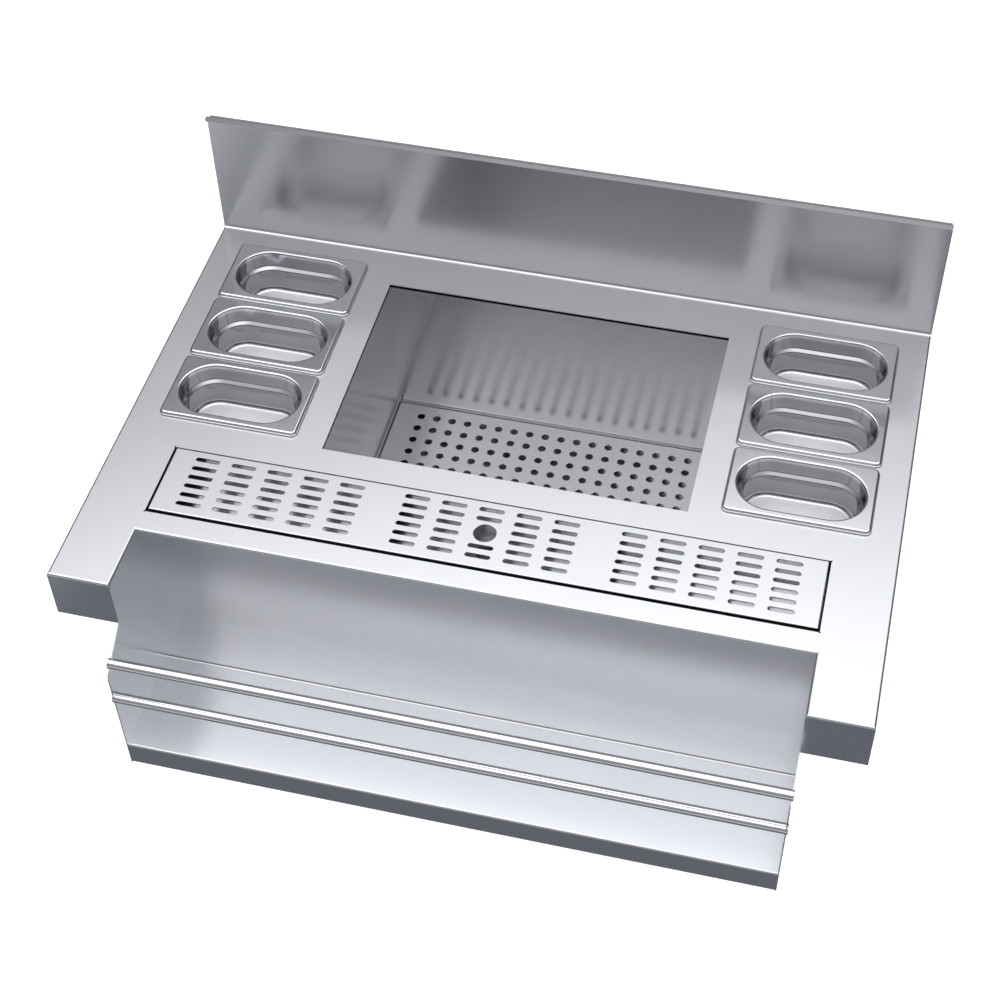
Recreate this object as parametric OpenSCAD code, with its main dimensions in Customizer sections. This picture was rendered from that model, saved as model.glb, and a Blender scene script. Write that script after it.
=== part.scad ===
// Bar station top with a drained ice bin, six lift-out garnish pans, a slotted drip
// grate over a drip tray, and a bottle trough hung in the recess between two front wings.
// X runs across the station, Y = 0 is the wall plane behind it, -Y is towards the bartender.
// Z = 0 is the top face of the worktop.

/* [Worktop] */
// Overall width of the worktop
top_w = 1000; // [960:10:1200]
// Width of the worktop on each side of the ice bin
side_strip = 263.5; // [260:0.5:290]
// Width of each front wing, outside the trough
wing_w = 80; // [60:5:110]
// How far the wings stand in front of the recess edge
wing_reach = 90; // [70:5:120]
// Thickness of the worktop and trough sheet
top_t = 1.5; // [1.2:0.1:2]
// Outside radius of the folded edges
fold_r = 3; // [2.5:0.5:4]
// Depth of the folded fronts and sides
apron_h = 75; // [60:5:90]
// Land between the drip tray opening and the recess edge
front_land = 30.5; // [28:0.5:40]

/* [Upstand] */
// Height of the upstand above the worktop
upstand_h = 193.5; // [100:0.5:250]
// Distance from the face of the upstand to the wall
upstand_d = 10; // [9:1:16]
// Depth of the lip turned forwards on top of the upstand
upstand_lip_w = 10; // [8:1:16]
// Corner radius of that lip
upstand_lip_r = 5; // [3:1:7]
// Inside radius between worktop and upstand
cove_r = 4; // [3:0.5:5]

/* [Ice bin] */
// Front-to-back size of the bin opening
bin_l = 315; // [280:5:330]
// Distance from the face of the upstand to the bin opening
bin_setback = 65.5; // [60:0.5:80]
// Depth of the bin floor below the worktop
bin_h = 256; // [200:5:300]
// Thickness of the bin sheet
bin_t = 1.2; // [1:0.1:1.5]
// Thickness of the foam round the bin
foam_t = 25; // [15:1:27]
// Thickness of the outer casing sheet
casing_t = 0.8; // [0.6:0.1:1.2]
// How far the worktop overhangs the walls of the bin and of the tray
overhang = 1.5; // [1:0.5:2]

/* [False bottom] */
// Height of the perforated plate above the bin floor
plate_h = 25; // [18:1:40]
// Thickness of the perforated plate
plate_t = 1.5; // [1:0.1:2]
// Gap between the plate and the bin walls
plate_gap = 3; // [2:0.5:5]
// Diameter of the drain holes
hole_d = 11; // [8:0.5:12]
// Spacing of the drain holes both ways
hole_pitch = 23.2; // [20:0.2:30]
// Margin from the back edge of the plate to the first row of holes
hole_back_margin = 22.5; // [18:0.5:30]
// Least margin at the sides and the front of the plate
hole_margin = 30; // [20:1:36]

/* [Drip tray and grate] */
// Front-to-back size of the tray opening
tray_l = 110.5; // [100:0.5:130]
// Depth of the ledge that the grate rests on
ledge_h = 17; // [14:1:22]
// Width of that ledge
ledge_w = 9; // [8:0.5:12]
// Depth of the tray floor at its ends
tray_end_h = 30; // [26:1:34]
// Fall of the tray floor from its ends to the outlet
tray_fall = 4; // [2:0.5:6]
// Thickness of the tray sheet
tray_t = 1.2; // [1:0.1:1.5]
// Thickness of the grate sheet
grate_t = 1.5; // [1:0.1:2]
// Gap beside each end of the grate
grate_side_gap = 2; // [1:0.5:3]
// Gap behind the grate
grate_back_gap = 0.6; // [0.4:0.1:1.5]
// Gap in front of the grate
grate_front_gap = 3.5; // [1.5:0.5:5]
// How far the grate stands above the worktop
grate_proud = 0.5; // [0:0.1:1.5]
// Width of a slot
slot_w = 6.5; // [5:0.5:8]
// Metal left between two slots end to end
slot_bridge = 15.7; // [12:0.1:18]
// Metal left between two groups of slots, beyond one bridge
group_land = 37; // [30:1:50]
// Metal left beyond the outer groups, both ends together
end_land = 13.5; // [8:0.5:20]
// Margin from the back edge of the grate to the first row of slots
slot_back_margin = 13.5; // [11:0.5:16]
// Margin from the front edge of the grate to the last row of slots
slot_front_margin = 18.65; // [14:0.05:20]
// Diameter of the finger hole
finger_d = 28; // [22:1:30]

/* [Pans] */
// Length of the rim of a pan, inside its rolled bead
pan_w = 184; // [178:1:190]
// Width of the rim of a pan, front to back
pan_l = 107; // [104:0.5:108]
// Corner radius of the rim
pan_rim_r = 7; // [6:1:12]
// Length of the mouth of a pan
mouth_w = 161.5; // [150:0.5:163]
// Width of the mouth of a pan
mouth_l = 86; // [80:0.5:87]
// Depth of a pan below its rim
pan_h = 65; // [50:5:100]
// Thickness of the pan sheet
pan_t = 0.8; // [0.6:0.1:1]
// Height of the rim above the worktop
pan_lip_h = 6; // [5.5:0.5:9]
// Spacing of the pans from front to back
pan_pitch = 114; // [112:0.5:118]
// Distance from the face of the upstand to the rim of the back pan
pan_setback = 34.4; // [30:0.1:38]

/* [Bottle trough] */
// Depth of the trough, from the recess edge to its front
trough_d = 145; // [120:5:180]
// Depth of the trough floor below the worktop
trough_h = 261; // [200:1:300]
// Height of the lip turned down in front
lip_h = 40; // [25:1:60]
// Depth of the front top corner of the cheeks below the worktop
shoulder_h = 115; // [108:1:130]
// Radius of that corner
shoulder_r = 12; // [6:1:14]
// Diameter of the two bottle rails
rail_d = 14; // [10:1:16]
// Distance from the front of the cheeks back to the upper rail, which lies on their sloped edge
upper_rail_in = 14.5; // [14:0.5:30]
// Distance from the front of the cheeks back to the lower rail
lower_rail_in = 5.5; // [4:0.5:20]
// Spacing of the two rails in height
rail_pitch = 59.5; // [45:0.5:80]

/* [Outlets] */
// Diameter of the bin outlet where its nut sits
bin_tail_d = 33.2; // [33:0.2:40]
// Outside diameter of the bin outlet spigot
bin_spigot_d = 32; // [30:0.5:32]
// Bore of the bin outlet
bin_bore_d = 27; // [20:0.5:27]
// Length of the bin outlet below its flange
bin_tail_l = 72; // [60:1:90]
// Diameter of the tray outlet where its nut sits
tray_tail_d = 26.4; // [26:0.2:30]
// Outside diameter of the tray outlet spigot
tray_spigot_d = 25; // [24:0.5:25]
// Bore of the tray outlet
tray_bore_d = 20; // [14:0.5:20]
// Length of the tray outlet below its flange
tray_tail_l = 44; // [34:1:60]

/* [Fixing] */
// Width of the rails under the wings
rail_flange_w = 30; // [26:1:40]
// Depth of the rails under the wings
rail_web_h = 40; // [30:1:50]
// Diameter of the bolt holes in the rails
bolt_hole_d = 9; // [6:0.5:11]
// Distance of the bolt holes from the outside of the worktop
bolt_in = 16.5; // [15:0.5:20]
// Distance of the back bolt holes from the wall plane
bolt_back = 100; // [80:5:150]
// Front-to-back spacing of the bolt holes
bolt_pitch = 500; // [400:10:520]
// Height of the channel behind the worktop
channel_h = 90; // [80:5:100]
// How far that channel rises above the top of the worktop
channel_rise = 30; // [20:1:40]
// Front-to-back size of the channel
channel_w = 40; // [30:1:44]

/* [Hidden] */
$fn = 64;

// Overrun of every cut past the face it cuts
over = 5;

// Main lines of the plan, from the wall forwards
face_y = -upstand_d;
bin_back_y = face_y - bin_setback;
bin_front_y = bin_back_y - bin_l;
bin_mid_y = (bin_back_y + bin_front_y) / 2;
// Clear space between the bin casing and the flange of the tray
shell_gap = 1.8;
// Width of the flange that holds the tray under the worktop
tray_flange_w = 6;
// How far the worktop overhangs the walls of the tray
tray_overhang = 1;
bin_shell = overhang + bin_t + foam_t + casing_t;
tray_shell = tray_overhang + tray_t + tray_flange_w;
tray_back_y = bin_front_y - bin_shell - shell_gap - tray_shell;
tray_front_y = tray_back_y - tray_l;
recess_y = tray_front_y - front_land;
wing_y = recess_y - wing_reach;
front_y = recess_y - trough_d;
half_w = top_w / 2;
bin_w = top_w - 2 * side_strip;
recess_x = half_w - wing_w;

// Back face of the trough wall and outer face of the cheeks
trough_back_y = recess_y + top_t;
cheek_x = recess_x + top_t;

// Outside radius of the bend under the lip of the upstand
lip_bend_r = 2.5;
// How far the backing board stays below that bend
backing_gap = 3;

// Ice bin
bin_in_x = bin_w / 2 + overhang;
bin_in_y = bin_l / 2 + overhang;
bin_out_x = bin_in_x + bin_t;
bin_out_y = bin_in_y + bin_t;
foam_x = bin_out_x + foam_t;
foam_y = bin_out_y + foam_t;
bin_under_z = -bin_h - bin_t;
foam_z = bin_under_z - foam_t;
casing_z = foam_z - casing_t;
// Dished seat for the outlet flange
dish_r = 46;
dish_h = 3;
// Room for the outlet nut through the foam and the casing
service_r = 36;

// Perforated plate
plate_x = bin_in_x - plate_gap;
plate_y = bin_in_y - plate_gap;
plate_fold_r = 3;
hole_cols = floor((2 * plate_x - 2 * hole_margin) / hole_pitch) + 1;
hole_rows = floor((2 * plate_y - hole_back_margin - hole_margin) / hole_pitch) + 1;

// Drip tray and grate
tray_in_x = recess_x + tray_overhang;
tray_in_y = tray_l / 2 + tray_overhang;
tray_mid_y = (tray_back_y + tray_front_y) / 2;
tray_low_z = -tray_end_h - tray_fall;
// Half length of the flat pad round the tray outlet
pad_x = 32;
grate_x = recess_x - grate_side_gap;
grate_back_y = tray_back_y - grate_back_gap;
grate_front_y = tray_front_y + grate_front_gap;
grate_mid_y = (grate_back_y + grate_front_y) / 2;
grate_fold_r = 3;
// Relief cut at each corner of the tray opening and of a plate with folded edges
relief_r = 1.2;
groups = 3;
slot_cols = 5;
slot_rows = 6;
group_pitch = (2 * recess_x - end_land) / groups;
slot_pitch_x = (group_pitch - group_land) / slot_cols;
slot_pitch_y = (grate_back_y - grate_front_y - slot_back_margin - slot_front_margin) / (slot_rows - 1);
slot_l = slot_pitch_x - slot_bridge;

// Pans
pans_deep = 3;
pan_x = half_w - side_strip / 2;
pan_back_y = face_y - pan_setback - pan_l / 2;
// Outside radius of the rim edge and of the mouth edge
pan_edge_r = 2.5;
// Radius of the rolled bead at the foot of the rim, how far it stands out and how much it is flattened below
bead_r = 1.1;
bead_out = 1.2;
bead_flat = 0.1;
// Depth of the stacking shoulder, its width and its height
step_z = 24;
step_w = 5;
step_fall = 4;
// Draft of the wall above the shoulder
pan_draft = 1;
pan_floor_r = 9;
// Raised field in the pan floor
field_in = 14;
field_h = 0.8;
// Clearance between the pan and its cut-out in the worktop
pan_gap = 2.7;
cut_w = mouth_w + 2 * pan_t + 2 * pan_gap;
cut_l = mouth_l + 2 * pan_t + 2 * pan_gap;

// Trough
trough_floor_z = -trough_h;
lip_z = trough_floor_z - lip_h;
trough_bend_r = 2;
lip_return = 12;
slope = atan2(shoulder_h - apron_h, wing_y - front_y);
upper_rail_y = front_y + upper_rail_in;
upper_rail_z = -apron_h - (wing_y - upper_rail_y) * tan(slope);
lower_rail_y = front_y + lower_rail_in;
lower_rail_z = upper_rail_z - rail_pitch;
// How far a rail stands out of the cheek, and the chamfer on its end
rail_out = 1.5;
rail_chamfer = 1;
// Play of a rail in its notch and of a nut on its thread
play = 0.1;

// Outlets
flange_t = 2;
bin_flange_r = 35;
tray_flange_r = 24;
mouth_cone = 4;
outlet_play = 0.6;
// Length of the stretch that the nut runs on
thread_l = 20;
gasket_t = 3;
outlet_nut_h = 9;
// Across-flats margin of an outlet nut over its tail
outlet_nut_w = 11;

// Rails under the wings
rail_t = 1.5;
rail_bend_r = 3;
rail_x = half_w - top_t;
rail_back_y = -channel_w - over;
rail_front_y = wing_y + top_t + over;

// Finish colours
steel = [0.80, 0.81, 0.83];
bright = [0.88, 0.88, 0.90];
zinc = [0.62, 0.64, 0.66];
brass = [0.76, 0.66, 0.40];
foam = [0.90, 0.86, 0.70];
seal = [0.16, 0.16, 0.17];

// Extrudes an outline in Y and Z along X, and one in X and Z along Y
module along_x(x0, x1) translate([x0, 0, 0]) rotate([90, 0, 90]) linear_extrude(x1 - x0) children();
module along_y(y0, y1) translate([0, y1, 0]) rotate([90, 0, 0]) linear_extrude(y1 - y0) children();

// Box between two corners
module block(a, b) translate(a) cube(b - a);

// Quarter of a bent sheet about [x, y], in the quadrant given by the signs
module bend(x, y, r_out, r_in, sx, sy) translate([x, y]) intersection() {
    difference() {
        circle(r_out);
        circle(r_in);
    }
    translate([min(0, sx * r_out), min(0, sy * r_out)]) square(r_out);
}

// Flat strip of sheet between two corners
module strip(a, b) translate([min(a[0], b[0]), min(a[1], b[1])]) square([abs(b[0] - a[0]), abs(b[1] - a[1])]);

// Upright outline from x0 to x1 whose top corners at x0 and x1 are rounded
module crown(x0, x1, z0, z1, r0, r1) difference() {
    strip([x0, z0], [x1, z1]);
    if (r0 > 0) difference() {
        strip([x0 - over, z1 - r0], [x0 + r0, z1 + over]);
        translate([x0 + r0, z1 - r0]) circle(r0);
    }
    if (r1 > 0) difference() {
        strip([x1 - r1, z1 - r1], [x1 + over, z1 + over]);
        translate([x1 - r1, z1 - r1]) circle(r1);
    }
}

// Stadium and rounded rectangle, both centred
module stadium(w, l) union() {
    square([w - l, l], center = true);
    for (s = [-1, 1]) translate([s * (w - l) / 2, 0]) circle(l / 2);
}
module round_rect(w, l, r) union() {
    square([w - 2 * r, l], center = true);
    square([w, l - 2 * r], center = true);
    for (sx = [-1, 1], sy = [-1, 1]) translate([sx * (w / 2 - r), sy * (l / 2 - r)]) circle(r);
}

// Carries an edge outline round a rounded rectangle; its x counts from the corner's centre
module round_path(w, l, r) {
    cx = w / 2 - r;
    cy = l / 2 - r;
    for (k = [0 : 3]) {
        sx = (k == 0 || k == 3) ? 1 : -1;
        sy = (k < 2) ? 1 : -1;
        translate([sx * cx, sy * cy, 0]) rotate(k * 90) rotate_extrude(angle = 90) children();
    }
    for (s = [-1, 1]) {
        if (cy > 0) translate([s * cx, 0, 0]) rotate(s > 0 ? 0 : 180) along_y(-cy, cy) children();
        if (cx > 0) translate([0, s * cy, 0]) rotate(s > 0 ? 90 : -90) along_y(-cx, cx) children();
    }
}

// Plate with its four edges folded down and its corners relieved, its top at z = 0
module skirt_block(x, y, h, r, inset) intersection() {
    along_y(-y + inset, y - inset) crown(-x + inset, x - inset, -h, -inset, r - inset, r - inset);
    along_x(-x + inset, x - inset) crown(-y + inset, y - inset, -h, -inset, r - inset, r - inset);
}
module skirted_plate(x, y, h, r, t) difference() {
    skirt_block(x, y, h, r, 0);
    skirt_block(x, y, h + over, r, t);
    for (sx = [-1, 1], sy = [-1, 1]) translate([sx * (x - t), sy * (y - t), -h - over])
        cylinder(r = relief_r, h = h + 2 * over);
    for (sx = [-1, 1], sy = [-1, 1]) translate([sx * x, sy * y, -h / 2])
        cube([2 * t, 2 * t, h + 2 * over], center = true);
}

// Solid outline of the worktop, drawn in by inset on every side
module worktop_block(inset, depth) {
    r = fold_r - inset;
    intersection() {
        along_y(wing_y - over, face_y - cove_r) crown(-half_w + inset, half_w - inset, -depth, -inset, r, r);
        union() {
            along_x(-half_w, half_w) crown(recess_y + inset, face_y - cove_r, -depth, -inset, r, 0);
            for (s = [-1, 1]) intersection() {
                along_x(-half_w, half_w) crown(wing_y + inset, bin_mid_y, -depth, -inset, r, 0);
                mirror([s < 0 ? 1 : 0, 0, 0])
                    along_y(wing_y, bin_mid_y) crown(recess_x + inset, half_w + over, -depth, -inset, r, 0);
            }
        }
    }
}

// Upstand with its cove and the lip turned forwards on top, in Y and Z
module upstand_outline() {
    back_y = face_y + top_t;
    bend(face_y - cove_r, cove_r, cove_r + top_t, cove_r, 1, -1);
    strip([face_y, cove_r], [back_y, upstand_h - lip_bend_r]);
    bend(back_y - lip_bend_r, upstand_h - lip_bend_r, lip_bend_r, lip_bend_r - top_t, 1, 1);
    strip([face_y - upstand_lip_w, upstand_h - top_t], [back_y - lip_bend_r, upstand_h]);
}

// Cuts the front corners of that lip round
module lip_corners() {
    r = upstand_lip_r;
    for (s = [-1, 1]) mirror([s < 0 ? 1 : 0, 0, 0])
        translate([half_w - r, face_y - upstand_lip_w + r, upstand_h - top_t - over]) difference() {
            block([0, -r - over, 0], [r + over, 0, top_t + 2 * over]);
            cylinder(r = r, h = top_t + 2 * over);
        }
}

module worktop() color(steel) difference() {
    union() {
        difference() {
            worktop_block(0, apron_h);
            worktop_block(top_t, apron_h + over);
        }
        along_x(-half_w, half_w) upstand_outline();
        for (s = [-1, 1]) mirror([s < 0 ? 1 : 0, 0, 0])
            block([half_w - top_t, face_y - cove_r, -apron_h], [half_w, 0, -top_t / 2]);
    }
    lip_corners();
    block([-cheek_x, wing_y - over, -apron_h - over], [cheek_x, trough_back_y, -fold_r]);
    block([-bin_w / 2, bin_front_y, -over], [bin_w / 2, bin_back_y, over]);
    block([-recess_x, tray_front_y, -over], [recess_x, tray_back_y, over]);
    for (s = [-1, 1], y = [tray_front_y, tray_back_y]) translate([s * recess_x, y, 0])
        cylinder(r = relief_r, h = 2 * over, center = true);
    for (s = [-1, 1], i = [0 : pans_deep - 1]) translate([s * pan_x, pan_back_y - i * pan_pitch, -over])
        linear_extrude(2 * over) stadium(cut_w, cut_l);
}

// Board behind the upstand, between it and the wall
module upstand_backing() color(foam)
    block([-rail_x, face_y + top_t, channel_rise], [rail_x, 0, upstand_h - lip_bend_r - backing_gap]);

// Channel that stiffens the back edge and stands against the wall
module rear_channel() color(zinc) along_x(-rail_x, rail_x) {
    low = channel_rise - channel_h;
    strip([-rail_t, low + rail_bend_r], [0, channel_rise - rail_bend_r]);
    bend(-rail_bend_r, low + rail_bend_r, rail_bend_r, rail_bend_r - rail_t, 1, -1);
    bend(-rail_bend_r, channel_rise - rail_bend_r, rail_bend_r, rail_bend_r - rail_t, 1, 1);
    strip([-channel_w, low], [-rail_bend_r, low + rail_t]);
    strip([face_y + top_t, channel_rise - rail_t], [-rail_bend_r, channel_rise]);
}

// Channel under one wing, with the holes that the underframe bolts to
module side_rail() difference() {
    along_y(rail_front_y, rail_back_y) {
        top = -top_t;
        low = top - rail_web_h;
        inner = rail_x - rail_flange_w;
        strip([rail_x - rail_t, low + rail_bend_r], [rail_x, top - rail_bend_r]);
        bend(rail_x - rail_bend_r, low + rail_bend_r, rail_bend_r, rail_bend_r - rail_t, 1, -1);
        bend(rail_x - rail_bend_r, top - rail_bend_r, rail_bend_r, rail_bend_r - rail_t, 1, 1);
        strip([inner, low], [rail_x - rail_bend_r, low + rail_t]);
        strip([inner, top - rail_t], [rail_x - rail_bend_r, top]);
    }
    for (y = [-bolt_back, -bolt_back - bolt_pitch]) translate([half_w - bolt_in, y, -top_t - rail_web_h])
        cylinder(r = bolt_hole_d / 2, h = 2 * over, center = true);
}
module side_rail_right() color(zinc) side_rail();
module side_rail_left() color(zinc) mirror([1, 0, 0]) side_rail();

// Welded tub, open at the top, with a flange under the worktop
module ice_bin() color(steel) translate([0, bin_mid_y, 0]) {
    flange_x = foam_x + casing_t;
    flange_y = foam_y + casing_t;
    difference() {
        union() {
            block([-bin_out_x, -bin_out_y, bin_under_z], [bin_out_x, bin_out_y, -top_t]);
            block([-flange_x, -flange_y, -top_t - bin_t], [flange_x, flange_y, -top_t]);
            translate([0, 0, bin_under_z - dish_h]) cylinder(r1 = bin_flange_r, r2 = dish_r, h = dish_h + bin_t);
        }
        block([-bin_in_x, -bin_in_y, -bin_h], [bin_in_x, bin_in_y, over]);
        translate([0, 0, -bin_h - dish_h]) cylinder(r1 = bin_flange_r, r2 = dish_r, h = dish_h);
        translate([0, 0, bin_under_z]) cylinder(r = bin_tail_d / 2 + outlet_play, h = 2 * over, center = true);
    }
}

// Foam between the tub and the casing
module bin_insulation() color(foam) translate([0, bin_mid_y, 0]) difference() {
    block([-foam_x, -foam_y, foam_z], [foam_x, foam_y, -top_t - bin_t]);
    block([-bin_out_x, -bin_out_y, bin_under_z], [bin_out_x, bin_out_y, over]);
    translate([0, 0, foam_z - over]) cylinder(r = dish_r, h = foam_t + 2 * over);
}

// Outer casing of the bin, closed below but for the service hole
module bin_casing() color(zinc) translate([0, bin_mid_y, 0]) difference() {
    block([-foam_x - casing_t, -foam_y - casing_t, casing_z], [foam_x + casing_t, foam_y + casing_t, -top_t - bin_t]);
    block([-foam_x, -foam_y, foam_z], [foam_x, foam_y, over]);
    translate([0, 0, casing_z]) cylinder(r = service_r, h = 2 * over, center = true);
}

// Perforated plate that keeps the ice off the bin floor
module false_bottom() color(steel) translate([0, bin_mid_y, -bin_h + plate_h]) difference() {
    skirted_plate(plate_x, plate_y, plate_h, plate_fold_r, plate_t);
    translate([0, 0, -over]) linear_extrude(2 * over)
        for (i = [0 : hole_cols - 1], j = [0 : hole_rows - 1])
            translate([(i - (hole_cols - 1) / 2) * hole_pitch, plate_y - hole_back_margin - j * hole_pitch])
                circle(hole_d / 2, $fn = 24);
}

// Outlet fitting whose flange lies on a floor at z = 0: a thread for the nut, then a spigot
module outlet(flange_r, tail_r, spigot_r, bore_r, tail_l) difference() {
    union() {
        cylinder(r1 = flange_r, r2 = flange_r - flange_t / 2, h = flange_t);
        translate([0, 0, -thread_l]) cylinder(r = tail_r, h = thread_l + flange_t / 2);
        translate([0, 0, -tail_l]) cylinder(r = spigot_r, h = tail_l);
    }
    translate([0, 0, -tail_l - over]) cylinder(r = bore_r, h = tail_l + flange_t + 2 * over);
    translate([0, 0, flange_t - mouth_cone]) cylinder(r1 = bore_r, r2 = bore_r + mouth_cone / 2, h = mouth_cone);
}
module outlet_gasket(r, tail_r) difference() {
    cylinder(r = r, h = gasket_t);
    translate([0, 0, -over]) cylinder(r = tail_r + play, h = gasket_t + 2 * over);
}
module outlet_nut(tail_r) difference() {
    cylinder(r = (tail_r + outlet_nut_w / 2) / cos(30), h = outlet_nut_h, $fn = 6);
    translate([0, 0, -over]) cylinder(r = tail_r + play, h = outlet_nut_h + 2 * over);
}
bin_seat_z = -bin_h - dish_h;
bin_clamp_z = bin_under_z - dish_h - gasket_t;
module bin_outlet() color(bright) translate([0, bin_mid_y, bin_seat_z])
    outlet(bin_flange_r, bin_tail_d / 2, bin_spigot_d / 2, bin_bore_d / 2, bin_tail_l);
module bin_outlet_gasket() color(seal) translate([0, bin_mid_y, bin_clamp_z])
    outlet_gasket(bin_flange_r - flange_t, bin_tail_d / 2);
module bin_outlet_nut() color(brass) translate([0, bin_mid_y, bin_clamp_z - outlet_nut_h]) outlet_nut(bin_tail_d / 2);

// Tray under the grate: an upper well with a ledge, and a channel that falls to the outlet
module tray_block(inset, top) {
    x = tray_in_x + inset;
    y = tray_in_y + inset;
    cx = tray_in_x - ledge_w + inset;
    cy = tray_in_y - ledge_w + inset;
    block([-x, -y, -ledge_h - inset], [x, y, top]);
    along_y(-cy, cy) polygon([[-cx, -ledge_h], [-cx, -tray_end_h - inset], [-pad_x, tray_low_z - inset],
        [pad_x, tray_low_z - inset], [cx, -tray_end_h - inset], [cx, -ledge_h]]);
}
module drip_tray() color(steel) translate([0, tray_mid_y, 0]) difference() {
    union() {
        tray_block(tray_t, -top_t);
        block([-tray_in_x - tray_t - tray_flange_w, -tray_in_y - tray_t - tray_flange_w, -top_t - tray_t],
            [tray_in_x + tray_t + tray_flange_w, tray_in_y + tray_t + tray_flange_w, -top_t]);
    }
    tray_block(0, over);
    translate([0, 0, tray_low_z]) cylinder(r = tray_tail_d / 2 + outlet_play, h = 2 * over, center = true);
}
tray_clamp_z = tray_low_z - tray_t - gasket_t;
module tray_outlet() color(bright) translate([0, tray_mid_y, tray_low_z])
    outlet(tray_flange_r, tray_tail_d / 2, tray_spigot_d / 2, tray_bore_d / 2, tray_tail_l);
module tray_outlet_gasket() color(seal) translate([0, tray_mid_y, tray_clamp_z])
    outlet_gasket(tray_flange_r - flange_t, tray_tail_d / 2);
module tray_outlet_nut() color(brass) translate([0, tray_mid_y, tray_clamp_z - outlet_nut_h])
    outlet_nut(tray_tail_d / 2);

// Slotted grate: three groups of slots, the middle one round a finger hole
module slot_outline() stadium(slot_l, slot_w);
module grate_openings() {
    first_y = grate_back_y - grate_mid_y - slot_back_margin;
    mid_row = (slot_rows - 1) / 2;
    finger_gap = finger_d / 2 + slot_w / 2;
    for (g = [0 : groups - 1], i = [0 : slot_cols - 1], j = [0 : slot_rows - 1]) {
        x = (g - (groups - 1) / 2) * group_pitch + (i - (slot_cols - 1) / 2) * slot_pitch_x;
        taken = abs(x) < slot_l / 2 && abs(j - mid_row) * slot_pitch_y < finger_gap;
        if (!taken) translate([x, first_y - j * slot_pitch_y]) slot_outline();
    }
    translate([0, first_y - mid_row * slot_pitch_y]) circle(finger_d / 2);
}
module drip_grate() color(steel) translate([0, grate_mid_y, grate_proud]) difference() {
    skirted_plate(grate_x, (grate_back_y - grate_front_y) / 2, ledge_h + grate_proud, grate_fold_r, grate_t);
    translate([0, 0, -over]) linear_extrude(2 * over) grate_openings();
}

// Trough in one folded sheet: back wall, floor and front lip
module bottle_trough() color(steel) {
    rb = trough_bend_r;
    rf = fold_r;
    along_x(-recess_x, recess_x) {
        strip([recess_y, trough_floor_z + rb], [trough_back_y, -rf]);
        bend(recess_y - rb, trough_floor_z + rb, rb + top_t, rb, 1, -1);
        strip([front_y + rf, trough_floor_z - top_t], [recess_y - rb, trough_floor_z]);
        bend(front_y + rf, trough_floor_z - rf, rf, rf - top_t, -1, 1);
        strip([front_y, lip_z + rf], [front_y + top_t, trough_floor_z - rf]);
        bend(front_y + rf, lip_z + rf, rf, rf - top_t, -1, -1);
        strip([front_y + rf, lip_z], [front_y + lip_return, lip_z + top_t]);
    }
}

// Cheek at the end of the trough, in Y and Z: under the wing, then down a slope to a rounded shoulder
module cheek_outline() {
    r = shoulder_r;
    tangent = r / tan((90 + slope) / 2);
    difference() {
        polygon([[trough_back_y, -fold_r], [trough_back_y, lip_z], [front_y, lip_z], [front_y, -shoulder_h],
            [wing_y, -apron_h], [wing_y, -fold_r]]);
        translate([front_y + r, -shoulder_h - tangent]) difference() {
            polygon([[0, 0], [-2 * r, 0], [-2 * r, 2 * r], [-2 * r * sin(slope), 2 * r * cos(slope)]]);
            circle(r);
        }
    }
}
module trough_cheek() difference() {
    along_x(recess_x, cheek_x) cheek_outline();
    for (p = [[upper_rail_y, upper_rail_z], [lower_rail_y, lower_rail_z]])
        translate([recess_x, p[0], p[1]]) rotate([0, 90, 0]) cylinder(r = rail_d / 2 + play, h = 2 * over, center = true);
}
module trough_cheek_right() color(steel) trough_cheek();
module trough_cheek_left() color(steel) mirror([1, 0, 0]) trough_cheek();

// Round bottle rails, seated in the notches of both cheeks
module bottle_rail(y, z) translate([0, y, z]) rotate([0, 90, 0]) {
    straight = cheek_x + rail_out - rail_chamfer;
    cylinder(r = rail_d / 2, h = 2 * straight, center = true);
    for (s = [0, 1]) mirror([0, 0, s]) translate([0, 0, straight])
        cylinder(r1 = rail_d / 2, r2 = rail_d / 2 - rail_chamfer, h = rail_chamfer);
}
module upper_rail() color(bright) bottle_rail(upper_rail_y, upper_rail_z);
module lower_rail() color(bright) bottle_rail(lower_rail_y, lower_rail_z);

// Inside of the deep-drawn pan, grown outwards by off; the rim's top is z = 0
module cup_outline(off) {
    r = mouth_l / 2;
    foot = r - pan_draft - step_w;
    floor_z = pan_t - pan_h;
    arc_z = floor_z + pan_floor_r;
    polygon([[0, 0], [r + off, 0], [r + off, -pan_edge_r], [r - pan_draft + off, -step_z],
        [foot + off, -step_z - step_fall], [foot + off, arc_z], [foot - pan_floor_r, floor_z - off], [0, floor_z - off]]);
    intersection() {
        translate([foot - pan_floor_r, arc_z]) circle(pan_floor_r + off);
        strip([foot - pan_floor_r, arc_z], [foot + off + over, floor_z - off - over]);
    }
}
module cup(off) {
    a = (mouth_w - mouth_l) / 2;
    for (s = [-1, 1]) translate([s * a, 0, 0]) rotate(s > 0 ? -90 : 90) rotate_extrude(angle = 180) cup_outline(off);
    along_x(-a, a) {
        cup_outline(off);
        mirror([1, 0]) cup_outline(off);
    }
}
// Rolled edge of the mouth
module mouth_edge() bend(mouth_l / 2 + pan_edge_r, -pan_edge_r, pan_edge_r, pan_edge_r - pan_t, -1, 1);
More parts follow.
